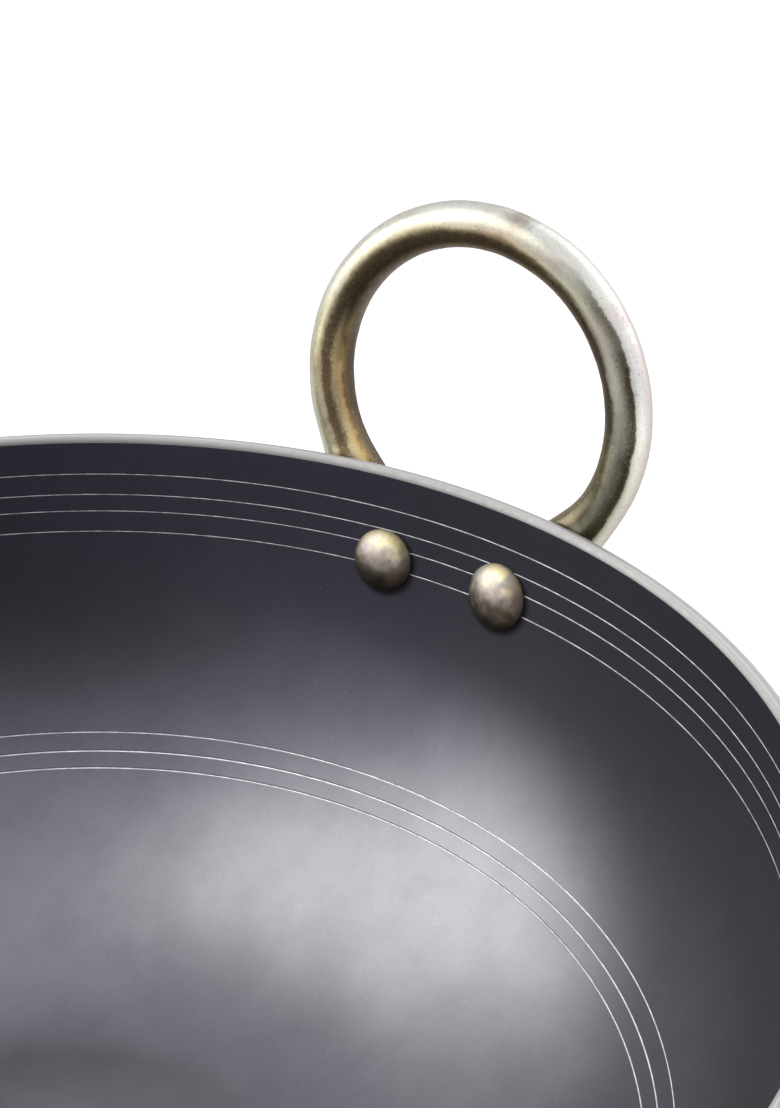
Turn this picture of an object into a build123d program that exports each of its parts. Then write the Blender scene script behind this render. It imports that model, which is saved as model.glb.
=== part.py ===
from build123d import *
import math
import os

os.makedirs("parts", exist_ok=True)

# Kadai: a riveted two-handled bowl. Millimetres, +Z up.
# The origin is the middle of the flat underside, and the handles stand on +X and -X.

# ---------------------------------------------------------------- driving dimensions
# bowl
mouth_radius = 120.0  # inner radius at the foot of the rim rounding
sheet = 2.65  # wall and base thickness, 12 gauge sheet
rim_lean = 10.04  # degrees from vertical, inner wall at the rim
upper_arc_radius = 158.1  # gentle upper part of the inner wall
arc_change = 20.21  # degrees from vertical where the two arcs meet
lower_arc_radius = 75.3  # tighter lower part, which ends level with the flat base

# turned V grooves in the inner wall, by height below the foot of the rim rounding
groove_depths_below_rim = [5.75, 9.50, 12.52, 16.20, 49.27, 51.87, 54.12]
groove_width = 0.36
groove_depth = 0.16

# rivets: hand-set, so the two at a handle differ a little
rear_rivet_below_rim = 15.0  # where the rivet's axis crosses the inner wall
rear_rivet_angle = 5.92  # degrees from the handle's middle
rear_rivet_head_radius = 5.6  # domed head inside the bowl
front_rivet_below_rim = 14.65
front_rivet_angle = 5.86
front_rivet_head_radius = 5.92
rivet_shank_radius = 2.4
rivet_head_height = 3.1
rivet_head_land = 0.50  # straight edge of the dome at the wall
rivet_tail_radius = 4.7  # closed end outside, on the ear
rivet_tail_height = 1.9
rivet_tail_land = 0.45
rivet_seat = 0.15  # depth of the flat that the closed end presses into the ear

# ring handle
rod_radius = 4.0
ring_radius = 30.0  # of the rod's centreline
ring_centre_out = 127.7  # from the bowl's axis
ring_centre_up = 16.2  # above the foot of the rim rounding
ring_tilt = 11.8  # degrees outward from vertical
ear_below_rim = 14.82  # middle of the ear, measured as for the rivets
ear_angle = 5.89
ear_radius = 6.1  # round end of the flattened rod, about the rivet
ear_thickness = 4.5
band_start = 8.0  # along the straight leg, where it starts to widen into the ear
flat_below_rim = 9.0  # above this height the pressed face slopes out to the full rod
ramp_angle = 28.0  # degrees between that slope and the wall

# ---------------------------------------------------------------- inner wall
D = math.pi / 180.0
a0, a1 = rim_lean * D, arc_change * D
c1 = (
    mouth_radius - upper_arc_radius * math.cos(a0),
    upper_arc_radius * math.sin(a0),
)
c2 = (
    c1[0] + (upper_arc_radius - lower_arc_radius) * math.cos(a1),
    c1[1] - (upper_arc_radius - lower_arc_radius) * math.sin(a1),
)
inside_depth = lower_arc_radius - c2[1]
base_radius = c2[0]
rim_z = inside_depth + sheet  # height of the foot of the rim rounding


def on_arc(centre, radius, angle):
    # a point of the wall where it leans by angle (radians) from vertical
    return (
        centre[0] + radius * math.cos(angle),
        rim_z + centre[1] - radius * math.sin(angle),
    )


def v3(p):
    return Vector(p[0], 0, p[1])


def lean_at(below_rim, extra=0.0):
    # lean of the wall at a height below the foot of the rim rounding, on the surface
    # that lies extra outside the inner one
    a = math.asin((c1[1] + below_rim) / (upper_arc_radius + extra))
    if a <= a1:
        return a, c1, upper_arc_radius + extra
    a = math.asin((c2[1] + below_rim) / (lower_arc_radius + extra))
    return a, c2, lower_arc_radius + extra


def bowl_face():
    inner_foot = v3(on_arc(c1, upper_arc_radius, a0))
    outer_foot = v3(on_arc(c1, upper_arc_radius + sheet, a0))
    mid = (inner_foot + outer_foot) * 0.5
    crest = mid + Vector(math.sin(a0), 0, math.cos(a0)) * (sheet / 2)
    am, an = (a0 + a1) / 2, (a1 + math.pi / 2) / 2
    ro1, ro2 = upper_arc_radius + sheet, lower_arc_radius + sheet
    edges = [
        Edge.make_line(Vector(0, 0, sheet), Vector(base_radius, 0, sheet)),
        Edge.make_three_point_arc(
            Vector(base_radius, 0, sheet),
            v3(on_arc(c2, lower_arc_radius, an)),
            v3(on_arc(c2, lower_arc_radius, a1)),
        ),
        Edge.make_three_point_arc(
            v3(on_arc(c2, lower_arc_radius, a1)),
            v3(on_arc(c1, upper_arc_radius, am)),
            inner_foot,
        ),
        Edge.make_three_point_arc(inner_foot, crest, outer_foot),
        Edge.make_three_point_arc(
            outer_foot, v3(on_arc(c1, ro1, am)), v3(on_arc(c1, ro1, a1))
        ),
        Edge.make_three_point_arc(
            v3(on_arc(c1, ro1, a1)), v3(on_arc(c2, ro2, an)), Vector(base_radius, 0, 0)
        ),
        Edge.make_line(Vector(base_radius, 0, 0), Vector(0, 0, 0)),
        Edge.make_line(Vector(0, 0, 0), Vector(0, 0, sheet)),
    ]
    return Face(Wire(edges))


bowl_smooth = Solid.revolve(bowl_face(), 360, Axis.Z)

# the same outside, but solid all through, to shape what lies against the wall
inner_foot = v3(on_arc(c1, upper_arc_radius, a0))
outer_foot = v3(on_arc(c1, upper_arc_radius + sheet, a0))
rim_mid = (inner_foot + outer_foot) * 0.5
rim_up = Vector(math.sin(a0), 0, math.cos(a0)) * (sheet / 2)
rim_out = Vector(math.cos(a0), 0, -math.sin(a0)) * (sheet / 2)
crest = rim_mid + rim_up
bowl_outline = Solid.revolve(
    Face(
        Wire(
            [
                Edge.make_line(Vector(0, 0, 0), Vector(base_radius, 0, 0)),
                Edge.make_three_point_arc(
                    Vector(base_radius, 0, 0),
                    v3(on_arc(c2, lower_arc_radius + sheet, (a1 + math.pi / 2) / 2)),
                    v3(on_arc(c2, lower_arc_radius + sheet, a1)),
                ),
                Edge.make_three_point_arc(
                    v3(on_arc(c2, lower_arc_radius + sheet, a1)),
                    v3(on_arc(c1, upper_arc_radius + sheet, (a0 + a1) / 2)),
                    outer_foot,
                ),
                Edge.make_three_point_arc(
                    outer_foot, rim_mid + (rim_up + rim_out) * math.sqrt(0.5), crest
                ),
                Edge.make_line(crest, Vector(0, 0, crest.Z)),
                Edge.make_line(Vector(0, 0, crest.Z), Vector(0, 0, 0)),
            ]
        )
    ),
    360,
    Axis.Z,
)

# ---------------------------------------------------------------- rivets
tail_at = sheet + ear_thickness - rivet_seat  # underside of the closed end


def wall_plane(below_rim, angle):
    # on the inner wall at this angle round from +X; local z runs outward through it
    lean, centre, radius = lean_at(below_rim)
    r, th = centre[0] + radius * math.cos(lean), angle * D
    p = Vector(r * math.cos(th), r * math.sin(th), rim_z - below_rim)
    out = Vector(
        math.cos(lean) * math.cos(th), math.cos(lean) * math.sin(th), -math.sin(lean)
    )
    return Plane(origin=p, x_dir=Vector(-math.sin(th), math.cos(th), 0), z_dir=out)


# side +1 is +Y, -1 is -Y
rivet_plane = {
    1: wall_plane(rear_rivet_below_rim, rear_rivet_angle),
    -1: wall_plane(front_rivet_below_rim, -front_rivet_angle),
}
head_radius = {1: rear_rivet_head_radius, -1: front_rivet_head_radius}


def turned(points, arcs):
    # a solid turned about local z from a closed outline in local x and z;
    # arcs maps an edge's number to the point that it bends through
    edges = []
    for i, p in enumerate(points):
        q = points[(i + 1) % len(points)]
        a, b = Vector(p[0], 0, p[1]), Vector(q[0], 0, q[1])
        if i in arcs:
            m = arcs[i]
            edges.append(Edge.make_three_point_arc(a, Vector(m[0], 0, m[1]), b))
        else:
            edges.append(Edge.make_line(a, b))
    return Solid.revolve(Face(Wire(edges)), 360, Axis.Z)


def cap_mid(radius, height):
    # a point half way along the arc of a cap of this base radius and height
    rs = (radius**2 + height**2) / (2 * height)
    half = math.asin(radius / rs) / 2
    return rs * math.sin(half), height - rs * (1 - math.cos(half))


tm = cap_mid(rivet_tail_radius, rivet_tail_height - rivet_tail_land)


def rivet_blank(side):
    hm = cap_mid(head_radius[side], rivet_head_height - rivet_head_land)
    return turned(
        [
            (0, -rivet_head_height),
            (head_radius[side], -rivet_head_land),
            (head_radius[side], 0.8),
            (rivet_shank_radius, 0.8),
            (rivet_shank_radius, tail_at),
            (rivet_tail_radius, tail_at),
            (rivet_tail_radius, tail_at + rivet_tail_land),
            (0, tail_at + rivet_tail_height),
        ],
        {
            0: (hm[0], -rivet_head_land - hm[1]),
            6: (tm[0], tail_at + rivet_tail_land + tm[1]),
        },
    )


hole_blank = Solid.make_cylinder(
    rivet_shank_radius, 30, Plane(origin=(0, 0, -10), z_dir=(0, 0, 1))
)
seat_blank = Solid.make_cylinder(
    rivet_tail_radius + 0.15, 8, Plane(origin=(0, 0, tail_at), z_dir=(0, 0, 1))
)

# ---------------------------------------------------------------- ring handle on +X
tilt = ring_tilt * D
o = Vector(ring_centre_out, 0, rim_z + ring_centre_up)
t_dir = Vector(0, 1, 0)
u_dir = Vector(math.sin(tilt), 0, math.cos(tilt))
n_dir = Vector(math.cos(tilt), 0, -math.sin(tilt))

# where the ear's axis crosses the ring's plane, in the plane's own coordinates
rp = wall_plane(ear_below_rim, ear_angle)
along = (o - rp.origin).dot(n_dir) / rp.z_dir.dot(n_dir)
cross = rp.origin + rp.z_dir * along - o
ear_t, ear_u = cross.dot(t_dir), cross.dot(u_dir)

# the rod follows the ring down to leave_at, then runs straight to the ear
reach = math.hypot(ear_t, ear_u)
leave_at = math.atan2(ear_t, -ear_u) + math.acos(ring_radius / reach)
straight = math.sqrt(reach**2 - ring_radius**2)


def in_plane(t, u, side=1):
    return o + t_dir * (t * side) + u_dir * u


def ring_point(angle, radius):
    # angle up the ring from its lowest point
    return radius * math.sin(angle), -radius * math.cos(angle)


# the ring itself: one turned arc of round rod, open at the bottom
start_t, start_u = ring_point(leave_at, ring_radius)
start = in_plane(start_t, start_u, -1)
ear_at = {side: in_plane(ear_t, ear_u, side) for side in (1, -1)}
run_dir = {side: (ear_at[side] - in_plane(start_t, start_u, side)).normalized() for side in (1, -1)}
rod_end = Face(
    Wire(
        [
            Edge.make_circle(
                rod_radius,
                Plane(origin=start, x_dir=n_dir, z_dir=run_dir[-1]),
            )
        ]
    )
)
turn_angle = 360 - 2 * leave_at / D
ring = Solid.revolve(rod_end, turn_angle, Axis(o, n_dir * -1))


def ear_outline(side):
    # a flat band in the ring's plane that widens from the rod to the round ear
    first = in_plane(start_t, start_u, side) + run_dir[side] * band_start
    length = straight - band_start
    across = run_dir[side].cross(n_dir)
    q = math.asin((ear_radius - rod_radius) / length)
    back = run_dir[side] * -math.sin(q)
    sides = {}
    for w in (1, -1):
        d = across * (w * math.cos(q)) + back
        sides[w] = (first + d * rod_radius, ear_at[side] + d * ear_radius)
    return Face(
        Wire(
            [
                Edge.make_line(sides[1][0], sides[1][1]),
                Edge.make_three_point_arc(
                    sides[1][1],
                    ear_at[side] + run_dir[side] * ear_radius,
                    sides[-1][1],
                ),
                Edge.make_line(sides[-1][1], sides[-1][0]),
                Edge.make_three_point_arc(
                    sides[-1][0],
                    first - run_dir[side] * rod_radius,
                    sides[1][0],
                ),
            ]
        )
    )


# what the press leaves of the rod: a turned outline round the bowl that is one ear
# thickness off the wall at the rivets and lets the whole rod through at the rim
flat_lean, flat_c, flat_r = lean_at(flat_below_rim, sheet)
low_lean, low_c, low_r = lean_at(28.0, sheet)
mid_lean = (flat_lean + low_lean) / 2


def off_wall(lean, gap):
    return Vector(
        flat_c[0] + (flat_r + gap) * math.cos(lean),
        0,
        rim_z + flat_c[1] - (flat_r + gap) * math.sin(lean),
    )


knee = off_wall(flat_lean, ear_thickness)
foot = off_wall(low_lean, ear_thickness)
slope = Vector(
    math.sin(flat_lean + ramp_angle * D), 0, math.cos(flat_lean + ramp_angle * D)
)
high = knee + slope * 12.0
far = 160.0
pressed_edges = [
    Edge.make_three_point_arc(foot, off_wall(mid_lean, ear_thickness), knee),
    Edge.make_line(knee, high),
    Edge.make_line(high, Vector(far, 0, high.Z)),
    Edge.make_line(Vector(far, 0, high.Z), Vector(far, 0, foot.Z)),
    Edge.make_line(Vector(far, 0, foot.Z), foot),
]
press = Solid.revolve(Face(Wire(pressed_edges)), 360, Axis.Z)

handle_right = ring
for side in (1, -1):
    leg = Solid.make_cylinder(
        rod_radius,
        straight,
        Plane(origin=in_plane(start_t, start_u, side), z_dir=run_dir[side]),
    )
    band = Solid.extrude(ear_outline(side), n_dir * 5.0)
    band = band + Solid.extrude(ear_outline(side), n_dir * -5.0)
    handle_right = handle_right + leg + band
handle_right = handle_right - press - bowl_outline
for side in (1, -1):
    where = rivet_plane[side].location
    handle_right = handle_right - where * hole_blank - where * seat_blank

# ---------------------------------------------------------------- finished pieces
kadai_body = bowl_smooth
for depth in groove_depths_below_rim:
    a, c, r = lean_at(depth)
    foot = Vector(c[0] + r * math.cos(a), 0, rim_z - depth)
    down = Vector(-math.sin(a), 0, -math.cos(a))
    into = Vector(math.cos(a), 0, -math.sin(a))
    over = 0.05  # the cutter starts this far inside the bowl
    half_w = groove_width / 2 * (groove_depth + over) / groove_depth
    tri = Wire.make_polygon(
        [
            foot - into * over + down * half_w,
            foot + into * groove_depth,
            foot - into * over - down * half_w,
        ],
        close=True,
    )
    kadai_body = kadai_body - Solid.revolve(Face(tri), 360, Axis.Z)

# the left side is the mirror image of the right one
rivets = {}
wall_with_holes = bowl_smooth
for side in (1, -1):
    hole = rivet_plane[side].location * hole_blank
    for each in (hole, mirror(hole, about=Plane.YZ)):
        kadai_body = kadai_body - each
        wall_with_holes = wall_with_holes - each
for side, name in ((1, "rear"), (-1, "front")):
    rivet = rivet_plane[side].location * rivet_blank(side) - wall_with_holes
    rivets["rivet_right_" + name] = rivet
    rivets["rivet_left_" + name] = mirror(rivet, about=Plane.YZ)

pieces = {
    "kadai_body": kadai_body,
    "handle_right": handle_right,
    "handle_left": mirror(handle_right, about=Plane.YZ),
    **rivets,
}
for name, shape in pieces.items():
    export_step(shape, "parts/" + name + ".step")

print("inside depth", round(inside_depth, 2), "base radius", round(base_radius, 2))
print("rim foot height", round(rim_z, 2))
for side in (1, -1):
    p = rivet_plane[side].origin
    print("rivet on inner wall", round(p.X, 3), round(p.Y, 3), round(p.Z, 3))
print("ear centre in the ring's plane", round(ear_t, 2), round(ear_u, 2))
print("ring leaves its circle at", round(leave_at / D, 2), "straight", round(straight, 2))
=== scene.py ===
import math

import bmesh
import bpy
import numpy as np
from mathutils import Matrix, Vector


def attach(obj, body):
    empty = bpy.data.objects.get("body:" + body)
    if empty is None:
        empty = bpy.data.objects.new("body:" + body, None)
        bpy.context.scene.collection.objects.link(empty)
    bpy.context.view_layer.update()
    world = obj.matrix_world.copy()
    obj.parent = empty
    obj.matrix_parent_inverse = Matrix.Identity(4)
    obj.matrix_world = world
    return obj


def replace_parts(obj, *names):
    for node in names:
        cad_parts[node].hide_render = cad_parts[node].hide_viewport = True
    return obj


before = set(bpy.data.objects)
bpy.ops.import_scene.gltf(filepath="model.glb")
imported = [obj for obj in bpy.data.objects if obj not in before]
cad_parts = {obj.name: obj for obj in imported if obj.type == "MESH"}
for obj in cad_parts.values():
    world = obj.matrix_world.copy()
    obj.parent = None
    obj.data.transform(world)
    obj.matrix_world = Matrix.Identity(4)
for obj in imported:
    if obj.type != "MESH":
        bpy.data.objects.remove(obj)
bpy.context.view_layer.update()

# Everything below is worked out in millimetres, in the part's own frame, and scaled
# to metres when a mesh is made.
MM = 0.001
D = math.pi / 180.0

# ------------------------------------------------------------------ the bowl's section
MOUTH_R = 120.0
SHEET = 2.65
A0, A1 = 10.04 * D, 20.21 * D
R1, R2 = 158.1, 75.3
C1 = (MOUTH_R - R1 * math.cos(A0), R1 * math.sin(A0))
C2 = (C1[0] + (R1 - R2) * math.cos(A1), C1[1] - (R1 - R2) * math.sin(A1))
RIM_Z = R2 - C2[1] + SHEET
BASE_R = C2[0]
GROOVES = [5.75, 9.50, 12.52, 16.20, 49.27, 51.87, 54.12]
GROOVE_W, GROOVE_D = 0.36, 0.16


def lean_at(below, extra=0.0):
    a = math.asin(min(1.0, (C1[1] + below) / (R1 + extra)))
    if a <= A1:
        return a, C1, R1 + extra
    a = math.asin(min(1.0, (C2[1] + below) / (R2 + extra)))
    return a, C2, R2 + extra


def wall_at(lean, extra=0.0):
    # (r, z) of the wall's inner surface, or of one that lies extra outside it
    c, r = (C1, R1) if lean <= A1 else (C2, R2)
    return c[0] + (r + extra) * math.cos(lean), RIM_Z + c[1] - (r + extra) * math.sin(lean)


def smooth(x):
    x = min(1.0, max(0.0, x))
    return x * x * (3 - 2 * x)


# ------------------------------------------------------------------ mesh helpers
def make_object(name, verts, faces, mats, mat_index=None, smooth_angle=35.0):
    mesh = bpy.data.meshes.new(name)
    mesh.from_pydata([tuple(c * MM for c in v) for v in verts], [], faces)
    for m in mats:
        mesh.materials.append(m)
    if mat_index is not None:
        mesh.polygons.foreach_set("material_index", mat_index)
    bm = bmesh.new()
    bm.from_mesh(mesh)
    bmesh.ops.recalc_face_normals(bm, faces=bm.faces)
    bm.to_mesh(mesh)
    bm.free()
    mesh.shade_smooth()
    mesh.set_sharp_from_angle(angle=smooth_angle * D)
    mesh.update()
    ob = bpy.data.objects.new(name, mesh)
    bpy.context.scene.collection.objects.link(ob)
    return ob


def lathe(name, profile, seg, mats, kinds, smooth_angle=35.0):
    # profile runs from a point on the axis to another point on the axis;
    # kinds gives the material number of each stretch
    verts, faces, idx = [], [], []
    rings = []
    for r, z in profile:
        if r < 1e-6:
            rings.append([len(verts)])
            verts.append((0.0, 0.0, z))
        else:
            base = len(verts)
            for i in range(seg):
                a = 2 * math.pi * i / seg
                verts.append((r * math.cos(a), r * math.sin(a), z))
            rings.append(list(range(base, base + seg)))
    for k in range(len(rings) - 1):
        a, b = rings[k], rings[k + 1]
        for i in range(seg):
            j = (i + 1) % seg
            if len(a) == 1:
                faces.append((a[0], b[i], b[j]))
            elif len(b) == 1:
                faces.append((a[i], b[0], a[j]))
            else:
                faces.append((a[i], b[i], b[j], a[j]))
            idx.append(kinds[k])
    return make_object(name, verts, faces, mats, idx, smooth_angle)


def cut(ob, cutters):
    # takes the cutters out of ob and keeps its material zones
    for c in cutters:
        m = ob.modifiers.new("cut", "BOOLEAN")
        m.operation, m.solver, m.object = "DIFFERENCE", "EXACT", c
    bpy.context.view_layer.update()
    dg = bpy.context.evaluated_depsgraph_get()
    mesh = bpy.data.meshes.new_from_object(ob.evaluated_get(dg), depsgraph=dg)
    ob.modifiers.clear()
    old = ob.data
    ob.data = mesh
    bpy.data.meshes.remove(old)
    for c in cutters:
        bpy.data.objects.remove(c)
    mesh.name = ob.name
    return ob


# ------------------------------------------------------------------ node helpers
def new_material(name):
    mat = bpy.data.materials.new(name)
    mat.use_nodes = True
    nt = mat.node_tree
    nt.nodes.clear()
    out = nt.nodes.new("ShaderNodeOutputMaterial")
    bsdf = nt.nodes.new("ShaderNodeBsdfPrincipled")
    nt.links.new(bsdf.outputs[0], out.inputs[0])
    return mat, nt, bsdf


def put(nt, target, value):
    if hasattr(value, "is_output") or isinstance(value, bpy.types.NodeSocket):
        nt.links.new(value, target)
    elif isinstance(value, (tuple, list)) and len(value) == 3 and len(target.default_value) == 4:
        target.default_value = (*value, 1.0)
    else:
        target.default_value = value


def math_node(nt, op, a, b=None, c=None, clamp=False):
    n = nt.nodes.new("ShaderNodeMath")
    n.operation = op
    n.use_clamp = clamp
    for i, v in enumerate((a, b, c)):
        if v is not None:
            put(nt, n.inputs[i], v)
    return n.outputs[0]


def vmath(nt, op, a, b=None, scale=None):
    n = nt.nodes.new("ShaderNodeVectorMath")
    n.operation = op
    put(nt, n.inputs[0], a)
    if b is not None:
        put(nt, n.inputs[1], b)
    if scale is not None:
        put(nt, n.inputs[3], scale)
    return n


def noise(nt, vector, scale, detail=2.0, rough=0.5, dist=0.0):
    n = nt.nodes.new("ShaderNodeTexNoise")
    put(nt, n.inputs["Vector"], vector)
    n.inputs["Scale"].default_value = scale
    n.inputs["Detail"].default_value = detail
    n.inputs["Roughness"].default_value = rough
    n.inputs["Distortion"].default_value = dist
    return n.outputs["Fac"]


def ramp(nt, fac, stops, interp="LINEAR"):
    n = nt.nodes.new("ShaderNodeValToRGB")
    n.color_ramp.interpolation = interp
    e = n.color_ramp.elements
    while len(e) < len(stops):
        e.new(0.5)
    for el, (p, c) in zip(e, stops):
        el.position = p
        el.color = (*c, 1.0) if len(c) == 3 else c
    put(nt, n.inputs[0], fac)
    return n.outputs[0]


def mix(nt, fac, a, b, blend="MIX"):
    n = nt.nodes.new("ShaderNodeMix")
    n.data_type = "RGBA"
    n.blend_type = blend
    n.clamp_factor = True
    put(nt, n.inputs["Factor"], fac)
    put(nt, n.inputs[6], a)
    put(nt, n.inputs[7], b)
    return n.outputs[2]


def map_range(nt, v, a, b, c, d, clamp=True):
    n = nt.nodes.new("ShaderNodeMapRange")
    n.clamp = clamp
    put(nt, n.inputs[0], v)
    for i, x in enumerate((a, b, c, d)):
        n.inputs[i + 1].default_value = x
    return n.outputs[0]


def bump(nt, height, strength, distance, normal=None):
    n = nt.nodes.new("ShaderNodeBump")
    n.inputs["Strength"].default_value = strength
    n.inputs["Distance"].default_value = distance
    put(nt, n.inputs["Height"], height)
    if normal is not None:
        put(nt, n.inputs["Normal"], normal)
    return n.outputs[0]


def object_space(nt):
    return nt.nodes.new("ShaderNodeTexCoord").outputs["Object"]


def turned_coords(nt):
    # radius from the bowl's axis and height, as a vector that is the same all round a
    # turned circle, and the plain position
    p = object_space(nt)
    s = nt.nodes.new("ShaderNodeSeparateXYZ")
    put(nt, s.inputs[0], p)
    r = math_node(nt, "SQRT", math_node(nt, "ADD", math_node(nt, "MULTIPLY", s.outputs[0], s.outputs[0]),
                                       math_node(nt, "MULTIPLY", s.outputs[1], s.outputs[1])))
    c = nt.nodes.new("ShaderNodeCombineXYZ")
    put(nt, c.inputs[0], r)
    put(nt, c.inputs[2], s.outputs[2])
    return p, c.outputs[0], r, s.outputs[2]


# ------------------------------------------------------------------ materials
def anodised(name, low, high, rough, line_strength, painted_shadow_spots=()):
    # hard-anodised aluminium: a dark satin oxide over turned metal, low its tone at the
    # base and high at the rim; the darker, bluer tone toward the rim is painted shade
    mat, nt, b = new_material(name)
    p, turn, r, z = turned_coords(nt)
    cloud = noise(nt, vmath(nt, "MULTIPLY", p, (1.0, 1.0, 0.45)).outputs[0], 26.0, 4.0, 0.55)
    mottle = noise(nt, p, 110.0, 3.0, 0.6)
    speck = noise(nt, p, 1500.0, 2.0, 0.6)
    dust = noise(nt, p, 1700.0, 1.0, 0.5)
    lines = noise(nt, turn, 2600.0, 2.0, 0.5)
    # painted shade: the colour darkens and turns bluer from the base up to the rim
    rim_shade = nt.nodes.new("ShaderNodeMapRange")
    rim_shade.interpolation_type = "SMOOTHSTEP"
    put(nt, rim_shade.inputs[0], z)
    rim_shade.inputs[1].default_value, rim_shade.inputs[2].default_value = -0.002, 0.068
    col = mix(nt, rim_shade.outputs[0], low, high)
    col = mix(nt, map_range(nt, cloud, 0.35, 0.65, 0.0, 0.22), col, (0.07, 0.07, 0.08))
    col = mix(nt, map_range(nt, mottle, 0.40, 0.64, 0.0, 0.13), col, (0.055, 0.058, 0.070))
    col = mix(nt, map_range(nt, speck, 0.45, 0.75, 0.0, 0.10), col, (0.05, 0.05, 0.06))
    col = mix(nt, map_range(nt, dust, 0.75, 0.80, 0.0, 0.35), col, (0.34, 0.34, 0.36))
    # painted contact shadow on the wall round each rivet's head, set a little below and to one side
    for spot in painted_shadow_spots:
        d = vmath(nt, "DISTANCE", p, tuple(c * MM for c in spot[:3])).outputs[1]
        col = mix(nt, map_range(nt, d, (spot[3] - 0.1) * MM, (spot[3] + 0.9) * MM, 0.85, 0.0), col, (0.022, 0.018, 0.018))
    put(nt, b.inputs["Base Color"], col)
    b.inputs["Metallic"].default_value = 0.9
    put(nt, b.inputs["Roughness"], map_range(nt, cloud, 0.3, 0.7, rough - 0.02, rough + 0.02))
    h = math_node(nt, "ADD", math_node(nt, "MULTIPLY", lines, line_strength), math_node(nt, "MULTIPLY", speck, 0.3))
    put(nt, b.inputs["Normal"], bump(nt, h, 0.12, 0.00001))
    return mat


def bare_turned(name, tone, rough):
    # bare aluminium cut on a lathe, handled until it is matt: fine circles all round
    mat, nt, b = new_material(name)
    p, turn, r, z = turned_coords(nt)
    lines = noise(nt, turn, 3800.0, 3.0, 0.6)
    wear = noise(nt, p, 45.0, 2.0, 0.5)
    chatter = noise(nt, p, 700.0, 1.0, 0.5)
    col = ramp(nt, lines, [(0.3, tuple(c * 0.90 for c in tone)), (0.7, tone)])
    # painted highlight along the crest
    crest = math_node(nt, "ABSOLUTE", math_node(nt, "SUBTRACT", r, (MOUTH_R + 0.95) * MM))
    col = mix(nt, map_range(nt, crest, 0.00008, 0.00028, 0.5, 0.0), col, (0.60, 0.60, 0.57))
    col = mix(nt, map_range(nt, wear, 0.35, 0.65, 0.0, 0.15), col, (0.30, 0.29, 0.29))
    put(nt, b.inputs["Base Color"], col)
    b.inputs["Metallic"].default_value = 0.5
    put(nt, b.inputs["Roughness"], map_range(nt, chatter, 0.3, 0.7, rough - 0.05, rough + 0.07))
    put(nt, b.inputs["Normal"], bump(nt, lines, 0.3, 0.00003))
    return mat


def cut_line(name, dull, bright, metallic, rough):
    # the bottom of a turned line, cut through the oxide: bright, and a little broken up
    mat, nt, b = new_material(name)
    p, turn, r, z = turned_coords(nt)
    dash = noise(nt, p, 420.0, 3.0, 0.7)
    fade = noise(nt, p, 30.0, 1.0, 0.5)
    col = mix(nt, map_range(nt, dash, 0.39, 0.59, 0.0, 1.0), dull, bright)
    col = mix(nt, map_range(nt, fade, 0.35, 0.65, 0.0, 0.25), col, dull)
    put(nt, b.inputs["Base Color"], col)
    b.inputs["Metallic"].default_value = metallic
    b.inputs["Roughness"].default_value = rough
    return mat


def bands(nt, x, stops):
    # a ramp over the way round the rod, its stops given in degrees from 60 down to -300
    return ramp(nt, x, [((60.0 - a) / 360.0, c) for a, c in stops])


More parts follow.
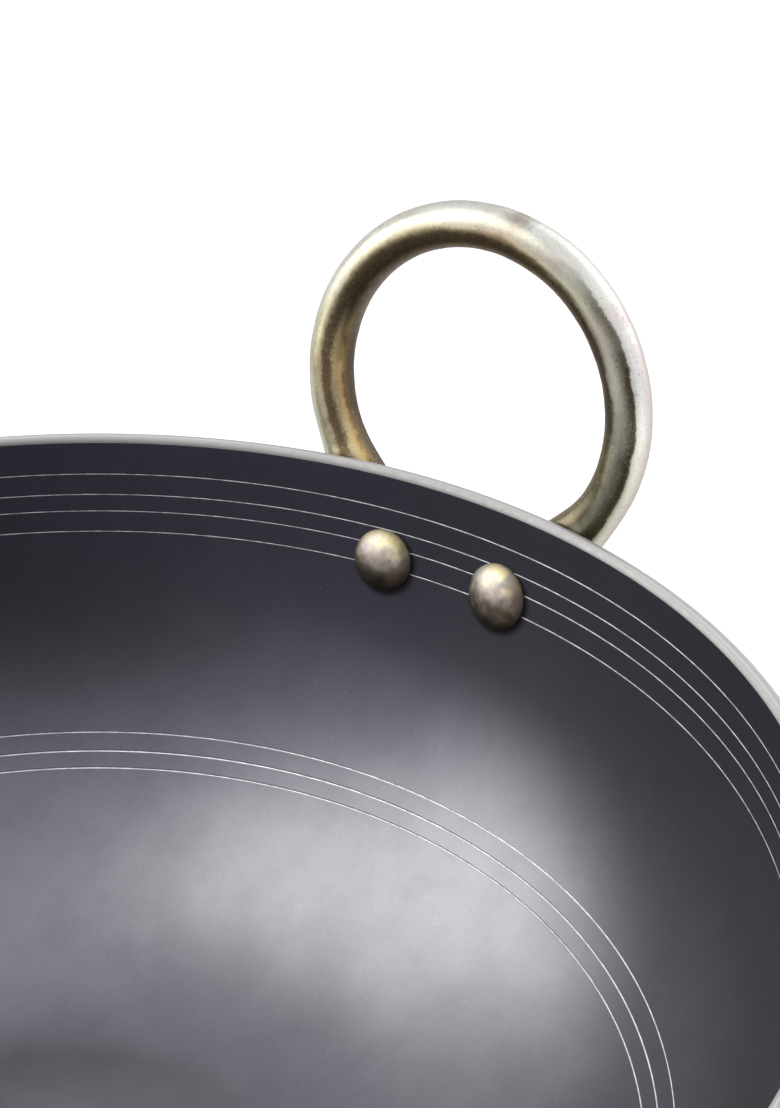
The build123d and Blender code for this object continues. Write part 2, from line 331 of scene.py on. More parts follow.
def plated_ring(name, seed, left):
    # zinc-plated rod with a yellowish passivation, in bands that drift along the rod: pale with
    # painted highlights on its outer side, dark brown inside the ring, partly tarnish and partly
    # painted shade and painted reflection. a is measured round the rod, 0 on the ring's outer side
    # and -90 toward the bowl; t is measured round the ring from its top
    mat, nt, b = new_material(name)
    p = object_space(nt)
    q = vmath(nt, "SUBTRACT", p, flip(O * MM, left)).outputs[0]
    shift = vmath(nt, "ADD", p, (seed * 0.37, seed * 0.11, seed * 0.23)).outputs[0]
    qt = vmath(nt, "DOT_PRODUCT", q, tuple(T_DIR)).outputs[1]
    qu = vmath(nt, "DOT_PRODUCT", q, flip(U_DIR, left)).outputs[1]
    qn = vmath(nt, "DOT_PRODUCT", q, flip(N_DIR, left)).outputs[1]
    rad = math_node(nt, "SQRT", math_node(nt, "ADD", math_node(nt, "MULTIPLY", qt, qt), math_node(nt, "MULTIPLY", qu, qu)))
    t = math_node(nt, "ARCTAN2", qt, qu)
    oval = math_node(nt, "MULTIPLY", math_node(nt, "COSINE", math_node(nt, "MULTIPLY", t, 2.0)), 0.375 * MM)
    rad = math_node(nt, "ADD", math_node(nt, "SUBTRACT", rad, RING * MM), oval)
    a = math_node(nt, "MULTIPLY", math_node(nt, "ARCTAN2", qn, rad), 180.0 / math.pi)
    t = math_node(nt, "MULTIPLY", t, 180.0 / math.pi)
    drift = noise(nt, shift, 90.0, 2.0, 0.5)
    fine = noise(nt, shift, 900.0, 2.0, 0.6)
    grain = noise(nt, shift, 2200.0, 2.0, 0.65)
    a = math_node(nt, "ADD", a, map_range(nt, drift, 0.25, 0.75, -9.0, 9.0))
    rag = math_node(nt, "ADD", map_range(nt, fine, 0.25, 0.75, -2.5, 2.5), map_range(nt, grain, 0.25, 0.75, -5.0, 5.0))
    a = math_node(nt, "ADD", a, math_node(nt, "MULTIPLY", rag, map_range(nt, t, -75.0, -35.0, 0.5, 1.0)))
    t = math_node(nt, "ADD", t, map_range(nt, drift, 0.25, 0.75, 12.0, -12.0))
    x = math_node(nt, "FRACT", math_node(nt, "DIVIDE", math_node(nt, "SUBTRACT", 420.0, a), 360.0))
    edge = (0.46, 0.43, 0.37)
    # the bands at four places round the ring: near-white painted highlights on the pale side, dark brown stops that
    # are partly tarnish and partly painted shade, and pale stripes in the dark band that are painted reflections
    right_foot = bands(nt, x, [
        (60, edge), (30, (0.62, 0.61, 0.58)), (10, (0.58, 0.52, 0.49)), (-10, (0.64, 0.58, 0.54)),
        (-30, (0.74, 0.76, 0.62)), (-41, (0.62, 0.62, 0.40)), (-47, (0.10, 0.08, 0.045)), (-62, (0.09, 0.07, 0.038)),
        (-76, (0.13, 0.105, 0.065)), (-86, (0.31, 0.295, 0.22)), (-98, (0.30, 0.285, 0.21)), (-110, (0.13, 0.11, 0.075)),
        (-130, (0.15, 0.135, 0.095)), (-160, (0.19, 0.17, 0.12)), (-240, (0.24, 0.21, 0.18)), (-300, edge)])
    right_leg = bands(nt, x, [
        (60, edge), (30, (0.64, 0.62, 0.59)), (10, (0.56, 0.52, 0.49)), (-10, (0.62, 0.58, 0.55)),
        (-30, (0.86, 0.86, 0.81)), (-45, (0.88, 0.88, 0.81)), (-49, (0.12, 0.09, 0.055)), (-56, (0.11, 0.085, 0.052)),
        (-63, (0.25, 0.225, 0.17)), (-75, (0.47, 0.46, 0.39)), (-96, (0.48, 0.47, 0.40)), (-106, (0.12, 0.095, 0.068)),
        (-128, (0.048, 0.038, 0.028)), (-150, (0.075, 0.064, 0.05)), (-172, (0.14, 0.12, 0.10)),
        (-240, (0.24, 0.21, 0.18)), (-300, edge)])
    top = bands(nt, x, [
        (60, edge), (20, (0.54, 0.55, 0.52)), (-12, (0.60, 0.62, 0.57)), (-38, (0.62, 0.64, 0.58)),
        (-50, (0.47, 0.475, 0.43)), (-76, (0.45, 0.44, 0.365)), (-85, (0.50, 0.46, 0.33)), (-92, (0.27, 0.225, 0.13)),
        (-102, (0.140, 0.110, 0.060)), (-142, (0.100, 0.079, 0.046)), (-156, (0.11, 0.092, 0.066)),
        (-172, (0.15, 0.13, 0.105)), (-240, (0.24, 0.21, 0.18)), (-300, edge)])
    left_leg = bands(nt, x, [
        (60, edge), (0, (0.46, 0.46, 0.45)), (-44, (0.49, 0.495, 0.48)), (-60, (0.42, 0.425, 0.37)),
        (-72, (0.33, 0.325, 0.21)), (-84, (0.62, 0.55, 0.39)), (-94, (0.60, 0.51, 0.34)), (-103, (0.19, 0.14, 0.082)),
        (-119, (0.24, 0.17, 0.095)), (-132, (0.80, 0.65, 0.38)), (-147, (0.68, 0.48, 0.21)), (-158, (0.20, 0.13, 0.065)),
        (-172, (0.08, 0.058, 0.036)), (-198, (0.06, 0.048, 0.036)), (-216, (0.14, 0.12, 0.10)),
        (-240, (0.24, 0.21, 0.18)), (-300, edge)])
    right_leg = mix(nt, map_range(nt, t, -118.0, -72.0, 0.0, 1.0), right_foot, right_leg)
    col = mix(nt, map_range(nt, t, -64.0, -32.0, 0.0, 1.0), right_leg, top)
    col = mix(nt, map_range(nt, t, 62.0, 94.0, 0.0, 1.0), col, left_leg)
    # faint interference tints, pink and green, on the pale side
    pink = noise(nt, shift, 55.0, 1.0, 0.5, 0.6)
    col = mix(nt, map_range(nt, pink, 0.56, 0.70, 0.0, 0.35), col, (0.86, 0.62, 0.62), "MULTIPLY")
    green = noise(nt, vmath(nt, "ADD", shift, (0.31, 0.77, 0.13)).outputs[0], 48.0, 1.0, 0.5, 0.6)
    col = mix(nt, map_range(nt, green, 0.55, 0.70, 0.0, 0.40), col, (0.72, 0.80, 0.52), "MULTIPLY")
    # a dull patch on the shoulder, and a scatter of dark and pale specks
    patch = vmath(nt, "DISTANCE", p, flip(SHOULDER * MM, left)).outputs[1]
    patch = math_node(nt, "ADD", patch, map_range(nt, fine, 0.3, 0.7, -0.0006, 0.0006))
    col = mix(nt, map_range(nt, patch, 0.0010, 0.0034, 0.75, 0.0), col, (0.24, 0.205, 0.165))
    col = mix(nt, map_range(nt, grain, 0.58, 0.70, 0.0, 0.35), col, (0.08, 0.06, 0.04))
    col = mix(nt, map_range(nt, grain, 0.40, 0.30, 0.0, 0.18), col, (0.80, 0.76, 0.66))
    col = mix(nt, 1.0, col, (1.0, 0.995, 0.93), "MULTIPLY")
    put(nt, b.inputs["Base Color"], col)
    b.inputs["Metallic"].default_value = 0.75
    b.inputs["Specular Tint"].default_value = (0.50, 0.46, 0.40, 1.0)
    put(nt, b.inputs["Roughness"], map_range(nt, fine, 0.3, 0.7, 0.26, 0.40))
    h = math_node(nt, "ADD", math_node(nt, "MULTIPLY", grain, 0.5), fine)
    put(nt, b.inputs["Normal"], bump(nt, h, 0.25, 0.00005))
    return mat


def plated_rivet(name, seed, side, left):
    # the same plating on a rivet's head, dulled and stained by use, with painted light: a yellowish
    # painted highlight at the top, beige in the middle, painted shade in brown below and in the corner against the
    # wall
    mat, nt, b = new_material(name)
    centre, ex, ey, ez = rivet_frame(side)
    p = object_space(nt)
    q = vmath(nt, "SUBTRACT", p, flip(centre * MM, left)).outputs[0]
    size = SPOT[side][2] * MM
    qx = math_node(nt, "DIVIDE", vmath(nt, "DOT_PRODUCT", q, flip(ex, left)).outputs[1], size)
    qy = math_node(nt, "DIVIDE", vmath(nt, "DOT_PRODUCT", q, flip(ey, left)).outputs[1], size)
    rho = math_node(nt, "SQRT", math_node(nt, "ADD", math_node(nt, "MULTIPLY", qx, qx), math_node(nt, "MULTIPLY", qy, qy)))
    shift = vmath(nt, "ADD", p, (seed * 0.37, seed * 0.11, seed * 0.23)).outputs[0]
    cloud = noise(nt, shift, 420.0, 2.0, 0.5)
    fine = noise(nt, shift, 1700.0, 2.0, 0.6)
    c = nt.nodes.new("ShaderNodeCombineXYZ")
    put(nt, c.inputs[0], math_node(nt, "MULTIPLY", qx, 16.0))
    put(nt, c.inputs[1], math_node(nt, "MULTIPLY", qy, 2.2))
    c.inputs[2].default_value = seed
    scratch = noise(nt, c.outputs[0], 1.0, 2.0, 0.6)
    # painted highlight toward the top of the head and painted shade toward the bottom, tilted a little to one side
    y = math_node(nt, "ADD", qy, map_range(nt, cloud, 0.3, 0.7, -0.22, 0.22))
    y = math_node(nt, "SUBTRACT", y, math_node(nt, "MULTIPLY", qx, 0.3))
    col = ramp(nt, map_range(nt, y, -1.0, 1.0, 0.0, 1.0), [
        (0.05, (0.024, 0.021, 0.015)), (0.22, (0.056, 0.048, 0.032)), (0.38, (0.150, 0.125, 0.090)),
        (0.52, (0.35, 0.295, 0.24)), (0.68, (0.54, 0.47, 0.39)), (0.82, (0.80, 0.71, 0.47)),
        (0.95, (0.86, 0.74, 0.38))])
    # a brown stain on one side and a bluish one above it
    stain = noise(nt, vmath(nt, "ADD", shift, (0.5, 0.2, 0.9)).outputs[0], 330.0, 1.0, 0.5)
    side_of = math_node(nt, "ADD", math_node(nt, "MULTIPLY", qx, -1.0), map_range(nt, stain, 0.3, 0.7, -0.35, 0.35))
    col = mix(nt, map_range(nt, side_of, 0.45, 0.75, 0.0, 0.55), col, (0.20, 0.13, 0.06))
    bluish = math_node(nt, "MULTIPLY", map_range(nt, stain, 0.56, 0.68, 0.0, 0.40), map_range(nt, y, -0.1, 0.3, 0.0, 1.0))
    col = mix(nt, bluish, col, (0.33, 0.36, 0.40))
    col = mix(nt, map_range(nt, scratch, 0.55, 0.75, 0.0, 0.30), col, (0.16, 0.12, 0.08))
    col = mix(nt, map_range(nt, fine, 0.62, 0.72, 0.0, 0.45), col, (0.09, 0.07, 0.05))
    # painted shade round the head's edge, in the corner against the wall
    col = mix(nt, map_range(nt, rho, 0.72, 1.0, 0.0, 0.75), col, (0.055, 0.042, 0.028))
    put(nt, b.inputs["Base Color"], col)
    b.inputs["Metallic"].default_value = 0.45
    put(nt, b.inputs["Roughness"], map_range(nt, cloud, 0.3, 0.7, 0.44, 0.56))
    h = math_node(nt, "ADD", math_node(nt, "MULTIPLY", scratch, 0.6), fine)
    put(nt, b.inputs["Normal"], bump(nt, h, 0.3, 0.00004))
    return mat


# ------------------------------------------------------------------ rivets and rings: where
SHANK, HEAD_H, LAND = 2.4, 3.1, 0.5
TAIL_R, TAIL_H, TAIL_LAND, SEAT = 4.7, 1.9, 0.45, 0.15
EAR_T = 4.5
# by side of the handle, +1 rear and -1 front: height below the rim, angle from the
# handle's middle, radius of the head
SPOT = {1: (15.0, 5.92, 5.6), -1: (14.65, 5.86, 5.92)}


def wall_frame(below, angle):
    a, c, r = lean_at(below)
    r, th = c[0] + r * math.cos(a), angle * D
    p = Vector((r * math.cos(th), r * math.sin(th), RIM_Z - below))
    out = Vector((math.cos(a) * math.cos(th), math.cos(a) * math.sin(th), -math.sin(a)))
    x = Vector((-math.sin(th), math.cos(th), 0))
    return p, x, out.cross(x), out


def rivet_frame(side):
    return wall_frame(SPOT[side][0], side * SPOT[side][1])


def flip(v, left):
    # the left side of the kadai is the mirror image of the right one
    return (-v[0], v[1], v[2]) if left else tuple(v)


ROD, RING = 4.0, 30.0
RING_OUT, RING_UP, TILT = 127.7, 16.2, 11.8 * D
EAR = 6.1
O = Vector((RING_OUT, 0, RIM_Z + RING_UP))
T_DIR = Vector((0, 1, 0))
U_DIR = Vector((math.sin(TILT), 0, math.cos(TILT)))
N_DIR = Vector((math.cos(TILT), 0, -math.sin(TILT)))
rp, rx, ry, rz = wall_frame(14.82, 5.89)
cross = rp + rz * ((O - rp).dot(N_DIR) / rz.dot(N_DIR)) - O
EAR_AT = (cross.dot(T_DIR), cross.dot(U_DIR))
reach = math.hypot(*EAR_AT)
LEAVE = math.atan2(EAR_AT[0], -EAR_AT[1]) + math.acos(RING / reach)
STRAIGHT = math.sqrt(reach**2 - RING**2)
ARC = (math.pi - LEAVE) * RING
S_FLAT = (math.pi - 68.0 * D) * RING
S_RIVET = ARC + STRAIGHT
# a dull spot on the ring's shoulder, 10 degrees to the front of its top
SHOULDER = O + T_DIR * (-(RING + 3.4) * math.sin(10 * D)) + U_DIR * ((RING + 3.4) * math.cos(10 * D)) - N_DIR * 1.5

# painted contact shadows for the inside: each centre sits 0.5 mm to one side of and 0.4 mm below a rivet's head, with
# the head's radius
RIVET_SHADOW_SPOTS = []
for k in (1, -1):
    for mirrored in (False, True):
        centre = rivet_frame(k)[0] + Vector((0, -0.50, -0.40))
        RIVET_SHADOW_SPOTS.append((*flip(centre, mirrored), SPOT[k][2]))
INSIDE = anodised("anodised_inside", (0.213, 0.209, 0.216), (0.109, 0.1055, 0.127), 0.30, 0.4, RIVET_SHADOW_SPOTS)
OUTSIDE = anodised("anodised_outside", (0.122, 0.120, 0.128), (0.100, 0.0975, 0.112), 0.34, 1.0)
BARE = bare_turned("bare_rim", (0.375, 0.372, 0.345), 0.58)
CUT = cut_line("bare_groove", (0.24, 0.235, 0.24), (0.50, 0.50, 0.485), 0.35, 0.42)
# a brighter, more metallic copy of the groove finish for the lower grooves: painted light where they lie in the
# highlight
CUT_LIT = cut_line("bare_groove_lit", (0.66, 0.66, 0.67), (0.97, 0.97, 0.97), 0.90, 0.40)
RING_R = plated_ring("plated_ring_right", 1.0, False)
RING_L = plated_ring("plated_ring_left", 5.0, True)
RIVET = [plated_rivet("plated_rivet_%d" % i, 11.0 + 3 * i, k, mirrored)
         for i, (k, mirrored) in enumerate(((-1, False), (1, False), (-1, True), (1, True)))]

# ------------------------------------------------------------------ bowl
inside, kinds = [], []


def step(point, kind):
    # adds a point of the section; kind is the finish of the stretch that ends there
    if inside:
        kinds.append(kind)
    inside.append(point)


for r in (0.0, 2.0, 5.0, 9.0, 14.0, 20.0, 26.0, 32.0, 38.0):
    step((r, SHEET), 0)
leans = [math.pi / 2 - (math.pi / 2 - A1) * i / 44 for i in range(44)]
leans += [A1 - (A1 - A0) * i / 18 for i in range(18)]
groove_leans = []
for g in GROOVES:
    a, c, r = lean_at(g)
    groove_leans.append((a, r))
stops = []
for a in leans:
    r = R1 if a <= A1 else R2
    if all(abs(a - ga) * gr > 0.42 for ga, gr in groove_leans):
        stops.append((a, 0.0, 0))
for number, (ga, gr) in enumerate(groove_leans):
    # the last three get the brighter groove finish, painted light where they lie in the highlight; the last two are a
    # little broader
    half = GROOVE_W / 2 * (1.25 if number > 4 else 1.0)
    line = 4 if number > 3 else 1
    for off, deep, kind in ((0.34, 0, 0), (0.24, 0, 0), (half, 0, 0), (half * 0.55, 0.02, 0),
                            (half * 0.22, GROOVE_D * 0.5, line), (0, GROOVE_D * 0.6, line),
                            (-half * 0.22, GROOVE_D * 0.5, line), (-half * 0.55, 0.02, 4 if number > 3 else 0), (-half, 0, 0), (-0.24, 0, 0), (-0.34, 0, 0)):
        stops.append((ga + off / gr, deep, kind))
stops.sort(key=lambda s: -s[0])
for a, deep, kind in stops:
    step(wall_at(a, deep), kind)
# rim: a full round of bare metal, with a crisp edge where the oxide was cut away
foot_in = wall_at(A0)
step((foot_in[0], foot_in[1] - 0.0), 0)
mid = (foot_in[0] + SHEET / 2 * math.cos(A0), foot_in[1] - SHEET / 2 * math.sin(A0))
for i in range(1, 25):
    a = math.pi - A0 - math.pi * i / 24
    step((mid[0] + SHEET / 2 * math.cos(a), mid[1] + SHEET / 2 * math.sin(a)), 2)
for i in range(1, 17):
    step(wall_at(A0 + (A1 - A0) * i / 16, SHEET), 3)
for i in range(1, 41):
    a = A1 + (math.pi / 2 - A1) * i / 40
    step((C2[0] + (R2 + SHEET) * math.cos(a), RIM_Z + C2[1] - (R2 + SHEET) * math.sin(a)), 3)
for r in (38.0, 32.0, 26.0, 20.0, 14.0, 9.0, 5.0, 2.0, 0.0):
    step((r, 0.0), 3)

# a hundredth of a millimetre in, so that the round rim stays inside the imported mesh's box
inside = [(r * 0.9999, z) for r, z in inside]
bowl = lathe("bowl", inside, 512, [INSIDE, CUT, BARE, OUTSIDE, CUT_LIT], kinds, 30.0)

# ------------------------------------------------------------------ rivets
def wall_depth(q, d, extra):
    # how far from q along d the wall's surface lies, the inner one or one that lies
    # extra outside it
    lo, hi = -4.0, 12.0
    for _ in range(40):
        m = (lo + hi) / 2
        s = q + d * m
        a, c, r = lean_at(RIM_Z - s.z, extra)
        if math.hypot(s.x, s.y) > c[0] + r * math.cos(a):
            hi = m
        else:
            lo = m
    return lo


def wobble(x, y, z, scale, seed):
    # smooth repeatable unevenness, about -1 to 1
    x, y, z = x * scale, y * scale, z * scale
    return (math.sin(x * 1.7 + seed) * math.cos(y * 1.3 - seed * 0.7) + math.sin(z * 1.9 + 2.1 * seed + x * 0.6)
            * math.cos(x * 0.9 - y * 1.1 + seed)) * 0.5


def make_rivet(name, side, left, mat, seed):
    p, ex, ey, ez = rivet_frame(side)
    HEAD_R = SPOT[side][2]
    seg = 96
    prof = []
    rs = (HEAD_R**2 + (HEAD_H - LAND) ** 2) / (2 * (HEAD_H - LAND))
    top = math.asin(HEAD_R / rs)
    for i in range(0, 27):
        a = top * i / 26
        prof.append(("head", rs * math.sin(a), -(HEAD_H - rs * (1 - math.cos(a)))))
    # the dome rolls over into a short land that meets the wall
    prof[-1] = ("head", HEAD_R - 0.06, -(LAND + 0.05))
    prof.append(("head", HEAD_R, -(LAND - 0.08)))
    prof.append(("head", HEAD_R + 0.02, -LAND * 0.5))
    prof.append(("wall", HEAD_R, 0.0))
    prof.append(("wall", SHANK + 0.25, 0.0))
    prof.append(("wall", SHANK, 0.05))
    tail_at = SHEET + EAR_T - SEAT
    prof.append(("plain", SHANK, tail_at))
    prof.append(("plain", TAIL_R, tail_at))
    prof.append(("tail", TAIL_R + 0.02, tail_at + TAIL_LAND * 0.5))
    prof.append(("tail", TAIL_R - 0.04, tail_at + TAIL_LAND))
    ts = (TAIL_R**2 + (TAIL_H - TAIL_LAND) ** 2) / (2 * (TAIL_H - TAIL_LAND))
    tt = math.asin(TAIL_R / ts)
    for i in range(1, 17):
        a = tt * (1 - i / 16)
        prof.append(("tail", ts * math.sin(a), tail_at + TAIL_H - ts * (1 - math.cos(a))))
    verts, rings, faces = [], [], []
    for kind, r, w in prof:
        ring = []
        n = 1 if r < 1e-6 else seg
        for i in range(n):
            a = 2 * math.pi * i / seg
            base = p + ex * (r * math.cos(a)) + ey * (r * math.sin(a))
            ww = w
            if kind == "wall":
                ww = w + wall_depth(base, ez, 0.0)
            v = base + ez * ww
            if kind == "head" and w < -LAND:
                v = v + ez * (0.05 * wobble(v.x, v.y, v.z, 0.55, seed))
            if kind == "tail":
                v = v + ez * (0.06 * wobble(v.x, v.y, v.z, 0.8, seed + 2))
            ring.append(len(verts))
            verts.append(flip(v, left))
        rings.append(ring)
    for a, b in zip(rings, rings[1:]):
        for i in range(seg):
            j = (i + 1) % seg
            if len(a) == 1:
                faces.append((a[0], b[i], b[j]))
            elif len(b) == 1:
                faces.append((a[i], b[0], a[j]))
            else:
                faces.append((a[i], b[i], b[j], a[j]))
    return make_object(name, verts, faces, [mat], None, 50.0)


def hole_cutter(side, left, r, start, end):
    p, ex, ey, ez = rivet_frame(side)
    seg = 64
    verts = []
    for w in (start, end):
        for i in range(seg):
            a = 2 * math.pi * i / seg
            v = p + ex * (r * math.cos(a)) + ey * (r * math.sin(a)) + ez * w
            verts.append(flip(v, left))
    faces = [tuple(range(seg))[::-1], tuple(range(seg, 2 * seg))]
    faces += [(i, (i + 1) % seg, seg + (i + 1) % seg, seg + i) for i in range(seg)]
    return make_object("cutter", verts, faces, [], None)


rivets = {}
for i, (name, side, left) in enumerate((("rivet_right_front", -1, False), ("rivet_right_rear", 1, False),
                                        ("rivet_left_front", -1, True), ("rivet_left_rear", 1, True))):
    rivets[name] = make_rivet(name + "_shaped", side, left, RIVET[i], 1.3 + i)

# ------------------------------------------------------------------ ring handles
def ring_radius(b):
    # the ring is a little wider than it is high, as a hand-bent one is; b is the angle
    # up from its lowest point
    k = smooth((b - LEAVE) / (25 * D))
    return RING + k * (-0.02 + 0.375 * math.cos(2 * (b - math.pi / 2)))


def path(s):
    if s <= ARC:
        b = math.pi - s / RING
        r = ring_radius(b)
        return (r * math.sin(b), -r * math.cos(b)), (-math.cos(b), -math.sin(b))
    b, e = LEAVE, s - ARC
    d = (-math.cos(b), -math.sin(b))
    return (RING * math.sin(b) + e * d[0], -RING * math.cos(b) + e * d[1]), d


def behind(p):
    lo, hi = -2.0, 20.0
    top = wall_at(A0, SHEET)[1]
    for _ in range(45):
        m = (lo + hi) / 2
        q = p - N_DIR * m
        a, c, r = lean_at(RIM_Z - min(q.z, top), SHEET)
        if math.hypot(q.x, q.y) > c[0] + r * math.cos(a):
            lo = m
        else:
            hi = m
    q = p - N_DIR * lo
    a, c, r = lean_at(RIM_Z - min(q.z, top), SHEET)
    h = math.hypot(q.x, q.y)
    return lo, Vector((math.cos(a) * q.x / h, math.cos(a) * q.y / h, -math.sin(a)))


def off_wall(v, gap=0.012):
    # pushes a point out of the bowl's wall and rim
    r = math.hypot(v.x, v.y)
    top_r, top_z = wall_at(A0, SHEET)
    if v.z <= top_z:
        a, c, rr = lean_at(RIM_Z - v.z, SHEET)
        need = c[0] + rr * math.cos(a) + gap
    elif v.z < mid[1] + SHEET / 2:
        need = mid[0] + math.sqrt(max(0.0, (SHEET / 2) ** 2 - (v.z - mid[1]) ** 2)) + gap
    else:
        return v
    if r >= need:
        return v
    return Vector((v.x * need / r, v.y * need / r, v.z))


def make_handle(name, left, mat, seed):
    seg = 56
    stations, s = [], 0.0
    while s < S_FLAT - 0.5:
        stations.append(s)
        s += S_FLAT / 84
    stations += [S_FLAT + (S_RIVET - S_FLAT) * i / 30 for i in range(31)]
    stations += [S_RIVET + EAR * f for f in (0.12, 0.24, 0.36, 0.48, 0.59, 0.69, 0.78, 0.855, 0.915, 0.96, 0.987)]
    both = [(-1, s) for s in reversed(stations[1:])] + [(1, s) for s in stations]
    verts, rings, faces = [], [], []
    for side, s in both:
        (t, u), (dt, du) = path(s)
        p = O + T_DIR * t + U_DIR * u
        k = smooth((s - S_FLAT) / (S_RIVET - 4.0 - S_FLAT))
        gap, wn = behind(p) if s > S_FLAT - 6 else (20.0, N_DIR)
        run = T_DIR * dt + U_DIR * du
        nn = N_DIR * (1 - k) + wn * k
        nn = (nn - run * nn.dot(run)).normalized()
        across = run.cross(nn)
        half = ROD + (EAR - ROD) * k
        tip = 0.0
        if s > S_RIVET:
            half = math.sqrt(max(0.0, EAR**2 - (s - S_RIVET) ** 2))
            tip = (s - S_RIVET) / EAR
        front = ROD + (EAR_T - gap - ROD) * k
        front *= 1 - 0.10 * tip**4
        back = min(ROD, gap + 0.6)
        back = back + (gap + 0.45 - back) * smooth((s - ARC + 3.0) / 4.0)
        power = 2.0 + 1.3 * k
        ring = []
        for i in range(seg):
            a = 2 * math.pi * i / seg
            ca, sa = math.cos(a), math.sin(a)
            x = half * math.copysign(abs(ca) ** (2 / power), ca)
            y = math.copysign(abs(sa) ** (2 / power), sa) * (front if sa > 0 else back)
            w = p + across * x + nn * y
            dent = 0.045 * wobble(w.x * side, w.y * side, w.z, 0.32, seed) + 0.02 * wobble(w.x, w.y * side, w.z, 0.9, seed + 4)
            w = w + (across * ca + nn * sa) * dent
            w = off_wall(w)
            ring.append(len(verts))
            verts.append(flip((w.x, w.y * side, w.z), left))
        rings.append(ring)
    for a, b in zip(rings, rings[1:]):
        for i in range(seg):
            j = (i + 1) % seg
            faces.append((a[i], b[i], b[j], a[j]))
    faces.append(tuple(rings[0][::-1]))
    faces.append(tuple(rings[-1]))
    ob = make_object(name, verts, faces, [mat], None, 40.0)
    cutters = [hole_cutter(sd, left, SHANK, 0.5, 20.0) for sd in (1, -1)]
    cutters += [hole_cutter(sd, left, TAIL_R + 0.12, SHEET + EAR_T - SEAT, 20.0) for sd in (1, -1)]
    cut(ob, cutters)
    ob.data.set_sharp_from_angle(angle=40.0 * D)
    return ob


ring_right = make_handle("ring_handle_right", False, RING_R, 0.4)
ring_left = make_handle("ring_handle_left", True, RING_L, 3.1)

cut(bowl, [hole_cutter(sd, left, SHANK, -8.0, 8.0) for sd in (1, -1) for left in (False, True)])
bowl.data.set_sharp_from_angle(angle=30.0 * D)

# ------------------------------------------------------------------ what stands for what
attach(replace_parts(bowl, "kadai_body"), "root")
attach(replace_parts(ring_right, "handle_right"), "root")
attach(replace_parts(ring_left, "handle_left"), "root")
for node, ob in rivets.items():
    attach(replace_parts(ob, node), "root")

# ------------------------------------------------------------------ floor
floor_mat, nt, b = new_material("pale_floor")
p = object_space(nt)
put(nt, b.inputs["Base Color"], ramp(nt, noise(nt, p, 3.0, 2.0), [(0.3, (0.86, 0.86, 0.86)), (0.7, (0.90, 0.90, 0.90))]))
b.inputs["Roughness"].default_value = 0.6
verts = [(0, 0, 0)]
faces = []
for k, r in enumerate((400.0, 1500.0, 6000.0, 30000.0)):
    for i in range(96):
        a = 2 * math.pi * i / 96
        verts.append((r * math.cos(a), r * math.sin(a), 0))
    for i in range(96):
        j = (i + 1) % 96
        if k == 0:
            faces.append((0, 1 + i, 1 + j))
        else:
            q = 1 + 96 * (k - 1)
            faces.append((q + i, q + 96 + i, q + 96 + j, q + j))
floor = make_object("floor", verts, faces, [floor_mat])

# ------------------------------------------------------------------ light
VIEW_TURN = -43.9 * D  # from the camera's own frame, where it looks along +Y, to the part's


def from_view(x, y, z):
    c, s = math.cos(VIEW_TURN), math.sin(VIEW_TURN)
    return Vector((c * x - s * y, s * x + c * y, z))


def toward(az, el):
    # direction at az degrees to the right of the camera's heading and el above level
    return from_view(math.sin(az * D) * math.cos(el * D), math.cos(az * D) * math.cos(el * D), math.sin(el * D))


world = bpy.data.worlds.new("studio")
bpy.context.scene.world = world
world.use_nodes = True
nt = world.node_tree
nt.nodes.clear()
out = nt.nodes.new("ShaderNodeOutputWorld")
bg = nt.nodes.new("ShaderNodeBackground")
nt.links.new(bg.outputs[0], out.inputs[0])
gen = nt.nodes.new("ShaderNodeTexCoord").outputs["Generated"]
gen = vmath(nt, "NORMALIZE", gen).outputs[0]


def lobe(az, el, inner, outer):
    # 1 within inner degrees of that direction, 0 beyond outer degrees
    d = vmath(nt, "DOT_PRODUCT", gen, tuple(toward(az, el))).outputs[1]
    n = nt.nodes.new("ShaderNodeMapRange")
    n.interpolation_type = "SMOOTHSTEP"
    put(nt, n.inputs[0], d)
    for i, x in enumerate((math.cos(outer * D), math.cos(inner * D), 0.0, 1.0)):
        n.inputs[i + 1].default_value = x
    return n.outputs[0]


def add(a, amount, lobe_value):
    return math_node(nt, "ADD", a, math_node(nt, "MULTIPLY", lobe_value, amount))


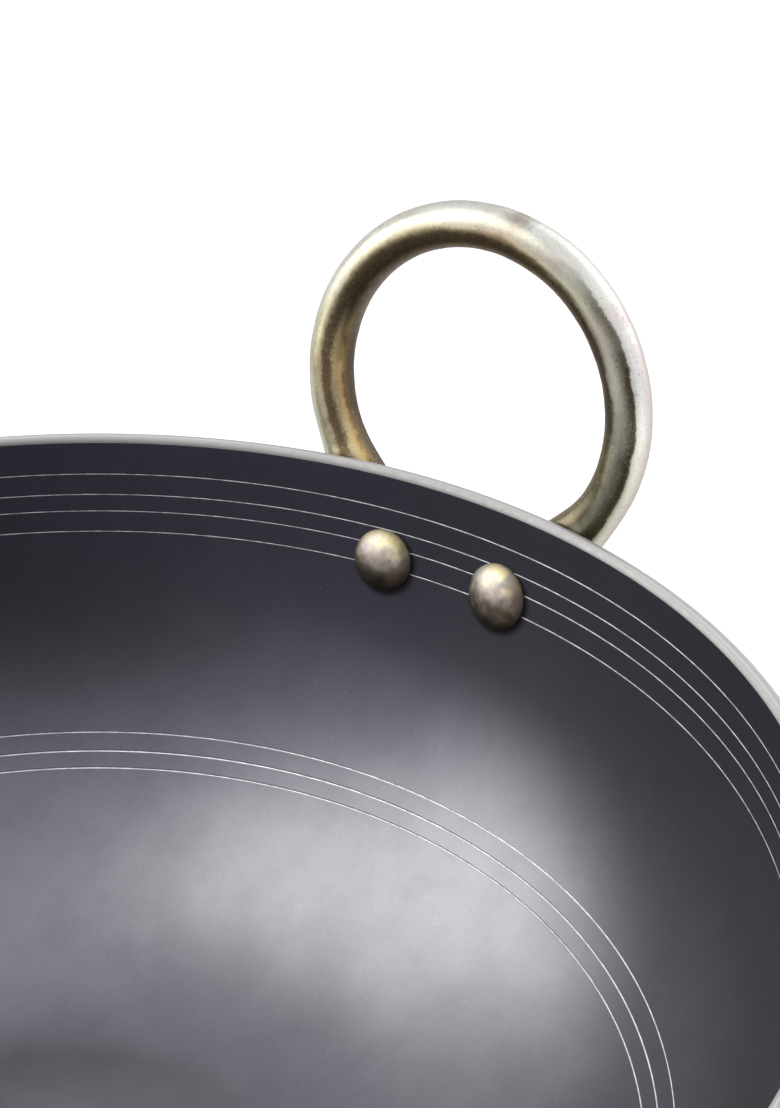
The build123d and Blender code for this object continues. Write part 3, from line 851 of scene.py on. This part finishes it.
# an even pale tent, brighter overhead, with one large soft light to the left of the
# camera and a second beside it, and less light from the camera's side and from behind
sep = nt.nodes.new("ShaderNodeSeparateXYZ")
put(nt, sep.inputs[0], gen)
overhead = nt.nodes.new("ShaderNodeMapRange")
overhead.interpolation_type = "SMOOTHSTEP"
put(nt, overhead.inputs[0], sep.outputs[2])
for i, x in enumerate((0.3, 0.9, 0.898, 1.099)):
    overhead.inputs[i + 1].default_value = x
value = overhead.outputs[0]
value = add(value, 1.5, lobe(60, 20, 0, 50))
value = add(value, -0.771, lobe(-172, 5, 0, 60))
value = add(value, -0.15, lobe(5, 25, 0, 55))
value = math_node(nt, "MAXIMUM", value, 0.05)
# what the camera sees behind everything is plain white
cam_ray = nt.nodes.new("ShaderNodeLightPath").outputs["Is Camera Ray"]
value = math_node(nt, "MAXIMUM", value, math_node(nt, "MULTIPLY", cam_ray, 1.2))
key = add(0.0, 3.473, lobe(-70.516, 15, 0, 32.31))
key = add(key, 2.779, lobe(-81.497, 50, 0, 32.117))
tent = vmath(nt, "SCALE", (0.975, 0.98, 1.10), scale=value).outputs[0]
lamp = vmath(nt, "SCALE", (1.015, 0.995, 0.955), scale=key).outputs[0]
put(nt, bg.inputs["Color"], vmath(nt, "ADD", tent, lamp).outputs[0])
bg.inputs["Strength"].default_value = 1.0

# ------------------------------------------------------------------ camera
cam_data = bpy.data.cameras.new("camera")
cam_data.sensor_fit, cam_data.sensor_width = "AUTO", 36.0
cam_data.lens = 2797.814 / 1108.0 * 36.0
cam_data.clip_start, cam_data.clip_end = 0.01, 100.0
cam = bpy.data.objects.new("camera", cam_data)
bpy.context.scene.collection.objects.link(cam)
right = from_view(0.98066, -0.19425, -0.02378)
up = from_view(0.12052, 0.50371, 0.85543)
back = -from_view(0.15419, 0.84175, -0.51738)
m = Matrix((right, up, back)).transposed().to_4x4()
where = from_view(0.0, -328.039, 0.0)
m.translation = Vector((where.x * MM, where.y * MM, (242.424 + RIM_Z) * MM))
cam.matrix_world = m
bpy.context.scene.camera = cam

scene = bpy.context.scene
scene.view_settings.view_transform = "Standard"
scene.view_settings.look = "None"
scene.view_settings.exposure = 0.0
scene.view_settings.gamma = 1.0
